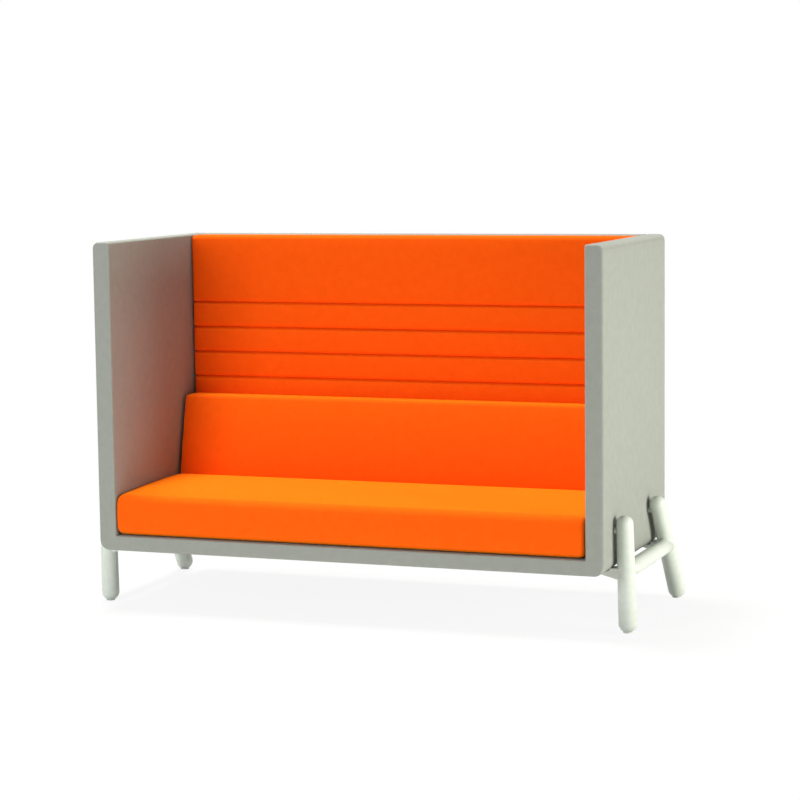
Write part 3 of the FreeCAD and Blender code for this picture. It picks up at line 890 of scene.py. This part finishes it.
    def build_dust_cover(self) -> bpy.types.Object:
        """Dust cover: a stretched sheet that sags a little between the rails."""
        low, high = self.window
        across = even_shares(high.x - low.x, self.spacing)[:, None]
        along = even_shares(high.y - low.y, self.spacing)[None, :]
        x = low.x + (high.x - low.x) * across + 0 * along
        y = low.y + (high.y - low.y) * along + 0 * across
        uneven = 1 + self.sheet_unevenness * ripple(x, y, wave=0.3, seed=2)
        sag = self.sheet_sag * dome(across, along) * uneven
        points = np.stack([x, y, high.z - sag], axis=2)
        piece = grid_piece("dust_cover_cloth", points, points[..., :2])
        wall = piece.modifiers.new("thickness", "SOLIDIFY")
        wall.thickness = self.sheet_thickness
        return piece


@dataclass
class Cushion:
    """A loose cushion or pad: an upright section carried from end to end, then swollen by its filling.

    Attributes:
        name: Name of the piece.
        edge: Rounding of the long edges.
        end_edge: Rounding of the end edges.
        spacing: Largest distance between surface points before subdivision.
        spine_spacing: Distance between the points that the end faces close on.
        filling: How the cover is blown up.
        bends: Points on each rounding.
        fill_rows: Rows on each end face.
    """

    name: str
    edge: float
    end_edge: float
    filling: Filling
    spacing: float = 0.016
    spine_spacing: float = 0.034
    bends: int = 6
    fill_rows: int = 4

    def carried(self, outline: Trace, spine: np.ndarray, left: float, right: float) -> Prism:
        """The section carried from the left end to the right end."""
        depths = even_shares(right - left, self.spacing)
        closing = nearest_points(outline.points, spine)
        return Prism(Plane.SECTION, outline, closing, left, right, self.end_edge, depths, self.fill_rows)

    @staticmethod
    def finish(wardrobe: Wardrobe, piece: bpy.types.Object, body: Body, fill: float, *nodes: str) -> None:
        """Smooths a filled cover by one level of subdivision and dresses it.

        Args:
            wardrobe: The finished materials.
            piece: The cover.
            body: The body that it rides on.
            fill: How full it is; not used.
            nodes: The CAD nodes that it stands for.
        """
        smooth = piece.modifiers.new("smooth", "SUBSURF")
        smooth.levels = 1
        smooth.render_levels = 1
        wardrobe.dress(piece, Slot.ORANGE_FABRIC, body, *nodes)


@dataclass
class SeatCushion(Cushion):
    """The seat cushion: flat below, crowned above.

    Attributes:
        foot_edge: Rounding of its lower long edges.
        front_drop: How much lower its top is in front than at the back.
        press: How much longer it is than its solid at its left end, where it meets the side.
        slack: How much shorter it is than its solid at its right end.
        front_edge: Rounding of its upper front edge.
        end_reach: Distance from each end over which its section draws in.
        end_draw: How far its top and its bottom draw in at each end.
        crown: Height of its crown before it is filled.
        face_swell: Bulge of its front face before it is filled.
    """

    name: str = "seat_cushion_cover"
    edge: float = 0.020
    end_edge: float = 0.012
    filling: Filling = Filling(pressure=4.0, cap=0.006)
    foot_edge: float = 0.028
    front_drop: float = 0.011
    press: float = 0.0025
    slack: float = 0.0020
    front_edge: float = 0.030
    end_reach: float = 0.030
    end_draw: float = 0.009
    crown: float = 0.003
    face_swell: float = 0.002

    def build(self, wardrobe: Wardrobe) -> None:
        """Builds, fills and dresses the cushion."""
        low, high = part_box("seat_cover")
        top = high.z - self.crown - self.filling.cap
        front = low.y + self.face_swell
        corners = [
            Corner(front, low.z, self.foot_edge, held=True),
            Corner(high.y, low.z, self.foot_edge, held=True),
            Corner(high.y, top, self.edge, swell=self.crown),
            Corner(front, top - self.front_drop, self.front_edge, swell=self.face_swell),
        ]
        outline = rounded_outline(corners, self.spacing, self.bends)
        half = (top - self.front_drop - low.z) / 2
        middle = low.z + half
        spine = spine_line((front + half, middle), (high.y - half, middle), self.spine_spacing)
        left = low.x - self.press
        right = high.x - self.slack
        points, cloth, held = self.carried(outline, spine, left, right).grid()
        to_end = np.minimum(points[..., 0] - left, right - points[..., 0])
        near_end = np.clip(1 - to_end / self.end_reach, 0, 1)
        drawn = 1 - self.end_draw * (1 - np.sqrt(1 - near_end**2)) / half
        points[..., 2] = middle + (points[..., 2] - middle) * drawn
        piece = grid_piece(self.name, points, cloth, held)
        self.filling.swell(piece)
        self.finish(wardrobe, piece, Body.SEAT, 0.9, "seat_cover", "seat_foam")


@dataclass
class LumbarCushion(Cushion):
    """The lumbar cushion: its face leans back above the seat.

    Attributes:
        top_depth: Depth of its top.
        face_swell: Bulge of its leaning face before it is filled.
        bend_height: Height of the bend in its face above its foot.
    """

    name: str = "lumbar_cushion_cover"
    edge: float = 0.016
    end_edge: float = 0.012
    filling: Filling = Filling(pressure=4.0, cap=0.006)
    top_depth: float = 0.088
    face_swell: float = 0.002
    bend_height: float = 0.146

    def build(self, wardrobe: Wardrobe) -> None:
        """Builds, fills and dresses the cushion."""
        low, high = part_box("lumbar_cover")
        crest = high.y - self.top_depth
        corners = [
            Corner(low.y, low.z, self.edge, held=True),
            Corner(high.y, low.z, self.edge, held=True),
            Corner(high.y, high.z, self.edge, held=True),
            Corner(crest, high.z, self.edge, swell=self.face_swell),
            Corner(low.y, low.z + self.bend_height, 0.0, held=True),
        ]
        outline = rounded_outline(corners, self.spacing, self.bends)
        inset = self.top_depth / 2
        middle = high.y - inset
        spine = spine_line((middle, low.z + inset), (middle, high.z - inset), self.spine_spacing)
        piece = grid_piece(self.name, *self.carried(outline, spine, low.x, high.x).grid())
        self.filling.swell(piece)
        self.finish(wardrobe, piece, Body.LUMBAR, 0.9, "lumbar_cover", "lumbar_foam")


@dataclass
class BackPad(Cushion):
    """The back pad: a plain top band, then sewn channels down the face.

    Attributes:
        top_band: Height of the plain band.
        channel_pitch: Distance between seams.
        channel_count: Number of seams.
        seam_depth: Depth of a seam's groove.
        seam_width: Distance from a seam at which its groove starts.
        seam_steps: Shares of that distance at which the face has points.
        held_share: Share of the groove's depth past which the filling doesn't move the face.
    """

    name: str = "back_pad_cover_cloth"
    edge: float = 0.014
    end_edge: float = 0.008
    filling: Filling = Filling(pressure=4.0, cap=0.003)
    top_band: float = 0.235
    channel_pitch: float = 0.088
    channel_count: int = 4
    seam_depth: float = 0.015
    seam_width: float = 0.012
    seam_steps: tuple[float, ...] = (0.05, 0.14, 0.28, 0.48, 0.72, 1.0)
    held_share: float = 0.9

    def seam_heights(self, top: float) -> np.ndarray:
        """Heights of the seams below the pad's top."""
        return top - self.top_band - self.channel_pitch * np.arange(self.channel_count)

    def face_heights(self, bottom: float, top: float, seams: np.ndarray) -> np.ndarray:
        """Heights of the points down the face, from top to bottom, closer together at the seams."""
        near = self.seam_width * np.array(self.seam_steps)
        close = np.concatenate([-near[::-1], [0.0], near])
        plain = np.linspace(bottom, top, math.ceil((top - bottom) / self.spacing) + 1)
        clear = np.abs(plain[:, None] - seams[None]).min(1) > near[-1] + self.spacing / 3
        heights = np.concatenate([plain[clear], (seams[:, None] + close[None]).ravel()])
        return np.sort(heights)[::-1]

    def groove(self, heights: np.ndarray, seams: np.ndarray) -> np.ndarray:
        """Depth of the sewn grooves: beside each seam the face turns in as a quarter ellipse."""
        near = np.clip(1 - np.abs(heights[..., None] - seams).min(-1) / self.seam_width, 0, 1)
        return self.seam_depth * (1 - np.sqrt(1 - near**2))

    def section(self, low: Vector, high: Vector, seams: np.ndarray) -> Trace:
        """The pad's upright section, with points on its face for the grooves, held at the seams."""
        front = low.y
        corners = [
            Corner(front, low.z, self.edge, held=True),
            Corner(high.y, low.z, self.end_edge, held=True),
            Corner(high.y, high.z, self.end_edge),
            Corner(front, high.z, self.edge),
        ]
        outline = rounded_outline(corners, self.spacing, self.bends)
        face = (outline.inward[:, 0] > 0.999) & (outline.points[:, 0] < front + WELD_DISTANCE)
        kept = Trace(outline.points[~face], outline.inward[~face], outline.held[~face])
        heights = self.face_heights(low.z + self.edge, high.z - self.edge, seams)
        groove = self.groove(heights, seams)
        points = np.stack([np.full_like(heights, front), heights], axis=1)
        inward = np.tile([1.0, 0.0], (len(heights), 1))
        held = groove > self.held_share * self.seam_depth
        return Trace(
            np.vstack([kept.points, points]),
            np.vstack([kept.inward, inward]),
            np.concatenate([kept.held, held]),
        )

    def build(self, wardrobe: Wardrobe) -> None:
        """Builds, fills and dresses the pad."""
        low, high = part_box("back_pad_cover")
        seams = self.seam_heights(high.z)
        outline = self.section(low, high, seams)
        middle = (low.y + high.y) / 2
        half = (high.y - low.y) / 2
        spine = spine_line((middle, low.z + half), (middle, high.z - half), self.spine_spacing)
        piece = grid_piece(self.name, *self.carried(outline, spine, low.x, high.x).grid())
        self.filling.swell(piece)
        points = mesh_points(piece.data)
        points[:, 1] += np.clip((middle - points[:, 1]) / half, 0, 1) * self.groove(points[:, 2], seams)
        place_points(piece.data, points)
        self.finish(wardrobe, piece, Body.SHELL, 0.8, "back_pad_cover", "back_pad_foam")
        piece.data.materials[0] = wardrobe.pad_cloth


@dataclass(frozen=True)
class Tube:
    """A round form along an axis, given by its radius at distances along it.

    Attributes:
        start: First point of the axis.
        end: Point that gives the axis its direction.
    """

    start: np.ndarray
    end: np.ndarray

    def axes(self) -> tuple[np.ndarray, np.ndarray, np.ndarray]:
        """Unit vectors along the axis and square to it."""
        along = (self.end - self.start) / np.linalg.norm(self.end - self.start)
        first = np.cross(along, [0.0, 1.0, 0.0] if abs(along[1]) < 0.9 else [1.0, 0.0, 0.0])
        first /= np.linalg.norm(first)
        return along, first, np.cross(along, first)

    def ring(self, angles: np.ndarray) -> np.ndarray:
        """Unit directions from the axis at angles round it."""
        _, first, second = self.axes()
        return np.cos(angles)[..., None] * first + np.sin(angles)[..., None] * second

    def surface(self, heights: np.ndarray, radii: np.ndarray, sides: int) -> np.ndarray:
        """Grid of points: circles of the given radii at the given distances along the axis."""
        angles = np.linspace(0, TAU, sides + 1)
        centres = self.start + heights[:, None] * self.axes()[0]
        return centres[:, None] + radii[:, None, None] * self.ring(angles)[None]


@dataclass
class LegFrame:
    """One leg frame of painted tube: two domed posts, a crossbar, welds and two arms.

    Attributes:
        side: Name of the side.
        sign: 1 on the right as seen from the front, -1 on the left.
        top_radius, foot_radius: Radii of a post at its two ends.
        gap: Clear space between a post's top and the shell.
        bar_radius: Radius of the crossbar.
        bar_height: Height of the crossbar's axis.
        weld_radius: Radius of a weld bead.
        plate, arm_depth: Thickness of an arm at its tip and at its post.
        corner_radius: Rounding of the shell's lower corner, which the arms' shoulders stay clear of.
        fit: Clear space between the arms and the shell.
        taper: Where an arm starts to deepen, measured in from the shell's outer face.
        shoulder_angle: Slope of an arm's shoulder outside the shell's rounded corner, in degrees.
        arm_edge: Rounding of an arm's edges.
        arm_spacing, arm_row_spacing, arm_spine_spacing: Largest distances between an arm's points along
            its outline, across its width and where its faces close.
        arm_bends: Points on each of an arm's roundings.
        sides, bead_sides: Points round a tube and round a weld bead.
        dome_rows, flank_rows: Rows on a post's domes and between them.
    """

    side: str
    sign: float
    top_radius: float = 0.027
    foot_radius: float = 0.030
    gap: float = 0.006
    bar_radius: float = 0.026
    bar_height: float = 0.198
    weld_radius: float = 0.002
    plate: float = 0.008
    arm_depth: float = 0.034
    corner_radius: float = 0.034
    fit: float = 0.0003
    taper: float = 0.060
    shoulder_angle: float = 45.0
    arm_edge: float = 0.003
    arm_spacing: float = 0.012
    arm_row_spacing: float = 0.01
    arm_spine_spacing: float = 0.02
    arm_bends: int = 4
    sides: int = 56
    bead_sides: int = 8
    dome_rows: int = 12
    flank_rows: int = 8
    axes: dict[str, Tube] = field(init=False)

    def __post_init__(self) -> None:
        """Takes the post axes from the frame, on the right-hand side."""
        low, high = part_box("right_side_cover")
        self.shell_outer = high.x
        self.shell_bottom = low.z
        self.axes = {end: self.post_axis(end) for end in ("front", "rear")}

    def post_axis(self, end: str) -> Tube:
        """The axis of a right-hand post from the middle of its foot dome to that of its top dome."""
        low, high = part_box(f"right_{end}_post")
        foot = np.array([high.x - self.foot_radius, high.y - self.foot_radius, self.foot_radius])
        top_x = self.shell_outer + self.gap + self.top_radius
        top = np.array([top_x, low.y + self.top_radius, high.z - self.top_radius])
        return Tube(foot, top)

    def axis_at(self, end: str, height: float) -> np.ndarray:
        """The point of a post's axis at a height."""
        axis = self.axes[end]
        run = axis.end - axis.start
        return axis.start + run * (height - axis.start[2]) / run[2]

    def radius_at(self, end: str, height: float) -> float:
        """A post's radius where its axis passes a height."""
        axis = self.axes[end]
        share = (height - axis.start[2]) / (axis.end[2] - axis.start[2])
        return self.foot_radius + (self.top_radius - self.foot_radius) * share

    def finish(self, wardrobe: Wardrobe, name: str, points: np.ndarray, *nodes: str) -> None:
        """Makes a painted piece of a grid on the right-hand side, mirrored for the left."""
        points = points * (self.sign, 1, 1)
        cloth = np.zeros(points.shape[:2] + (2,))
        piece = grid_piece(f"{self.side}_{name}", points, cloth)
        wardrobe.dress(piece, Slot.WHITE_PAINT, Body.SHELL, *nodes)

    def build(self, wardrobe: Wardrobe) -> None:
        """Builds and dresses the frame's pieces."""
        for end in self.axes:
            self.build_post(wardrobe, end)
            self.build_arm(wardrobe, end)
            self.build_weld(wardrobe, end)
        bar = Tube(self.axis_at("front", self.bar_height), self.axis_at("rear", self.bar_height))
        length = np.linalg.norm(bar.end - bar.start)
        heights = np.array([0, 0, 0.25, 0.5, 0.75, 1, 1]) * length
        radii = np.array([0, 1, 1, 1, 1, 1, 0]) * self.bar_radius
        points = bar.surface(heights, radii, self.sides)
        self.finish(wardrobe, "crossbar_tube", points, f"{self.side}_crossbar")

    def build_post(self, wardrobe: Wardrobe, end: str) -> None:
        """A post: two domes joined by a slightly tapered flank, cut flat above its glide."""
        axis = self.axes[end]
        length = np.linalg.norm(axis.end - axis.start)
        angle = np.linspace(0, TAU / 4, self.dome_rows + 1)
        flank = np.linspace(0, 1, self.flank_rows + 1)[1:-1]
        heights = np.concatenate(
            [-self.foot_radius * np.cos(angle), flank * length, length + self.top_radius * np.sin(angle)]
        )
        radii = np.concatenate(
            [
                self.foot_radius * np.sin(angle),
                self.foot_radius + (self.top_radius - self.foot_radius) * flank,
                self.top_radius * np.cos(angle),
            ]
        )
        points = axis.surface(heights, radii, self.sides)
        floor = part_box(f"{self.side}_{end}_glide")[1].z
        points[..., 2] = np.maximum(points[..., 2], floor)
        self.finish(wardrobe, f"{end}_post_tube", points, f"{self.side}_{end}_post")

    def build_weld(self, wardrobe: Wardrobe, end: str) -> None:
        """A weld bead: a small circle carried round the line where the crossbar meets a post.

        Each line of the bar's surface meets the post's cylinder where its distance from the post's
        axis equals the post's radius, which is a quadratic in the distance along the bar.
        """
        other = "rear" if end == "front" else "front"
        bar = Tube(self.axis_at(end, self.bar_height), self.axis_at(other, self.bar_height))
        along = bar.axes()[0]
        post = self.axes[end].axes()[0]
        angles = np.linspace(0, TAU, self.sides + 1)
        round_bar = bar.ring(angles)
        arm = self.bar_radius * round_bar
        run = along - (along @ post) * post
        offset = arm - (arm @ post)[:, None] * post
        radius = self.radius_at(end, self.bar_height)
        square = run @ run
        linear = offset @ run
        rest = (offset * offset).sum(1) - radius**2
        reach = (-linear + np.sqrt(linear**2 - square * rest)) / square
        line = bar.start + arm + reach[:, None] * along
        bead = np.linspace(0, TAU, self.bead_sides + 1)
        points = line[:, None] + self.weld_radius * (
            np.cos(bead)[None, :, None] * round_bar[:, None] + np.sin(bead)[None, :, None] * along
        )
        self.finish(wardrobe, f"{end}_crossbar_weld", points)

    def build_arm(self, wardrobe: Wardrobe, end: str) -> None:
        """An arm: a side outline, deep at the post and flat at its tip, carried across its width."""
        low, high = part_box(f"right_{end}_arm")
        top = self.shell_bottom - self.fit
        root = self.axis_at(end, top - self.arm_depth / 2)[0]
        angle = math.radians(self.shoulder_angle)
        reach = (self.corner_radius + self.fit) * math.tan(angle / 2)
        shoulder = self.shell_outer - self.corner_radius + reach
        corners = [
            Corner(root, top - self.arm_depth, self.arm_edge),
            Corner(root, top + reach * math.sin(angle), self.arm_edge),
            Corner(shoulder + reach * math.cos(angle), top + reach * math.sin(angle), self.arm_edge),
            Corner(shoulder, top, self.arm_edge),
            Corner(low.x, top, self.arm_edge),
            Corner(low.x, top - self.plate, self.arm_edge),
            Corner(self.shell_outer - self.taper, top - self.plate, self.arm_edge),
        ]
        outline = rounded_outline(corners, self.arm_spacing, self.arm_bends)
        height = top - self.plate / 2
        tip = low.x + self.plate / 2
        spine = spine_line((tip, height), (root - self.plate, height), self.arm_spine_spacing)
        depths = even_shares(high.y - low.y, self.arm_row_spacing)
        closing = nearest_points(outline.points, spine)
        form = Prism(Plane.FRONT, outline, closing, low.y, high.y, self.arm_edge, depths)
        self.finish(wardrobe, f"{end}_arm_bracket", form.grid()[0], f"{self.side}_{end}_arm")


@dataclass(frozen=True)
class Softbox:
    """A soft studio light.

    Attributes:
        name: Name of the light.
        place: Where it stands.
        target: What it points at.
        size: Width and height.
        power: Watts.
        colour: Tint.
    """

    name: str
    place: tuple[float, float, float]
    target: tuple[float, float, float]
    size: tuple[float, float]
    power: float
    colour: Colour

    def build(self) -> None:
        """Adds the light to the scene."""
        light = bpy.data.lights.new(self.name, "AREA")
        light.shape = "RECTANGLE"
        light.size, light.size_y = self.size
        light.energy = self.power
        light.color = self.colour
        lamp = bpy.data.objects.new(self.name, light)
        lamp.location = self.place
        aim = Vector(self.target) - Vector(self.place)
        lamp.rotation_euler = aim.to_track_quat("-Z", "Y").to_euler()
        bpy.context.scene.collection.objects.link(lamp)


@dataclass
class Studio:
    """Floor, background, lights and camera.

    Attributes:
        boxes: The soft lights.
        ambient: Strength of the even light from all round.
        floor_tone: Tone of the floor.
        floor_reach: Half the floor's width.
        floor_lift: Share of plain white in what the camera sees of the floor near the sofa.
        fade: Distances between which the floor turns to plain white.
        azimuth, yaw, pitch, roll: The camera's turn about the sofa and about its own axes, in degrees.
        distance, eye_height: Where the camera stands.
        focal_pixels: Focal length in pixels of a square picture.
        picture: Width of that picture in pixels.
        sensor_width, sight: Width of the camera's sensor in millimetres, and how far it sees.
    """

    boxes: tuple[Softbox, ...]
    ambient: float = 0.15
    floor_tone: float = 0.80
    floor_reach: float = 14.0
    floor_lift: float = 0.90
    fade: tuple[float, float] = (1.2, 3.2)
    azimuth: float = 20.891
    yaw: float = -0.422
    pitch: float = 6.390
    roll: float = -0.700
    distance: float = 7.854
    eye_height: float = 1.567
    focal_pixels: float = 2349.7
    picture: float = 800.0
    sensor_width: float = 36.0
    sight: float = 100.0

    def build(self) -> None:
        """Builds the studio."""
        for light in self.boxes:
            light.build()
        self.build_world()
        self.build_floor()
        self.build_camera()
        bpy.context.scene.view_settings.view_transform = "Standard"

    @staticmethod
    def seen_directly(graph: Graph) -> bpy.types.NodeSocket:
        """1 for rays that show the background itself: from the camera, mirrored or through glass."""
        path = graph.add("LightPath")
        mirrored = graph.math("MAXIMUM", path.outputs["Is Camera Ray"], path.outputs["Is Glossy Ray"])
        return graph.math("MAXIMUM", mirrored, path.outputs["Is Transmission Ray"])

    def build_world(self) -> None:
        """White background where it is seen, and even light elsewhere."""
        world = bpy.data.worlds.new("studio")
        world.use_nodes = True
        bpy.context.scene.world = world
        graph = Graph(world.node_tree)
        seen = self.seen_directly(graph)
        level = graph.add("MapRange", {"Value": seen, "To Min": self.ambient, "To Max": 1.0})
        white = graph.add("Background", {"Color": rgba(WHITE), "Strength": level.outputs[0]})
        graph.add("OutputWorld", {"Surface": white.outputs[0]})

    def build_floor(self) -> None:
        """Pale floor that keeps the sofa's shadow and turns to plain white away from it."""
        material, graph = new_material("pale floor")
        place = graph.add("TexCoord")
        away = graph.add("VectorMath", {0: place.outputs["Object"]}, operation="LENGTH")
        lift = graph.add(
            "MapRange",
            {
                "Value": away.outputs["Value"],
                "From Min": self.fade[0],
                "From Max": self.fade[1],
                "To Min": self.floor_lift,
                "To Max": 1.0,
            },
            interpolation_type="SMOOTHSTEP",
        )
        share = graph.math("MULTIPLY", lift.outputs[0], self.seen_directly(graph))
        matt = graph.add("BsdfDiffuse", {"Color": rgba((self.floor_tone,) * 3)})
        white = graph.add("Emission", {"Color": rgba(WHITE), "Strength": 1.0})
        both = graph.add("MixShader", {0: share, 1: matt.outputs[0], 2: white.outputs[0]})
        graph.add("OutputMaterial", {"Surface": both.outputs[0]})
        line = np.linspace(-self.floor_reach, self.floor_reach, 3)
        x, y = np.meshgrid(line, line)
        floor = grid_piece("floor", np.stack([x, y, 0 * x], axis=2), np.stack([x, y], axis=2))
        if floor.data.polygons[0].normal.z < 0:
            floor.data.flip_normals()
        floor.data.materials.append(material)

    def build_camera(self) -> None:
        """Camera at the photograph's viewing angle."""
        turn = math.radians(self.azimuth)
        heading = turn + math.radians(self.yaw)
        pitch = math.radians(self.pitch)
        roll = math.radians(self.roll)
        eye = Vector((self.distance * math.sin(turn), -self.distance * math.cos(turn), self.eye_height))
        ahead = Vector(
            (-math.sin(heading) * math.cos(pitch), math.cos(heading) * math.cos(pitch), -math.sin(pitch))
        )
        level = Vector((math.cos(heading), math.sin(heading), 0.0))
        upright = level.cross(ahead)
        right = math.cos(roll) * level + math.sin(roll) * upright
        up = -math.sin(roll) * level + math.cos(roll) * upright
        data = bpy.data.cameras.new("camera")
        data.sensor_width = self.sensor_width
        data.sensor_fit = "HORIZONTAL"
        data.lens = self.focal_pixels / self.picture * data.sensor_width
        data.clip_end = self.sight
        camera = bpy.data.objects.new("camera", data)
        turned = Matrix((right, up, -ahead)).transposed().to_4x4()
        camera.matrix_world = Matrix.Translation(eye) @ turned
        bpy.context.scene.collection.objects.link(camera)
        bpy.context.scene.camera = camera


STUDIO = Studio(
    boxes=(
        Softbox("overhead", (-1.2, 0.6, 7.0), (0.0, 0.0, 0.4), (2.6, 2.0), 680.0, (1.0, 0.99, 0.93)),
        Softbox("right side", (4.6, -0.3, 1.0), (0.8, 0.0, 0.7), (2.0, 1.2), 165.0, (1.0, 0.99, 0.90)),
        Softbox("front", (-1.8, -5.4, 2.2), (0.0, 0.0, 0.6), (2.4, 2.0), 155.0, (0.98, 0.99, 1.0)),
    )
)


def main() -> None:
    """Builds the sofa's pieces and its studio in order."""
    logging.basicConfig(level=logging.INFO, format="%(name)s: %(message)s")
    wardrobe = Wardrobe()
    Shell().build(wardrobe)
    SeatCushion().build(wardrobe)
    LumbarCushion().build(wardrobe)
    BackPad().build(wardrobe)
    for side, sign in (("left", -1.0), ("right", 1.0)):
        LegFrame(side, sign).build(wardrobe)
    wardrobe.dress_frame()
    STUDIO.build()


if __name__ == "__main__":
    main()
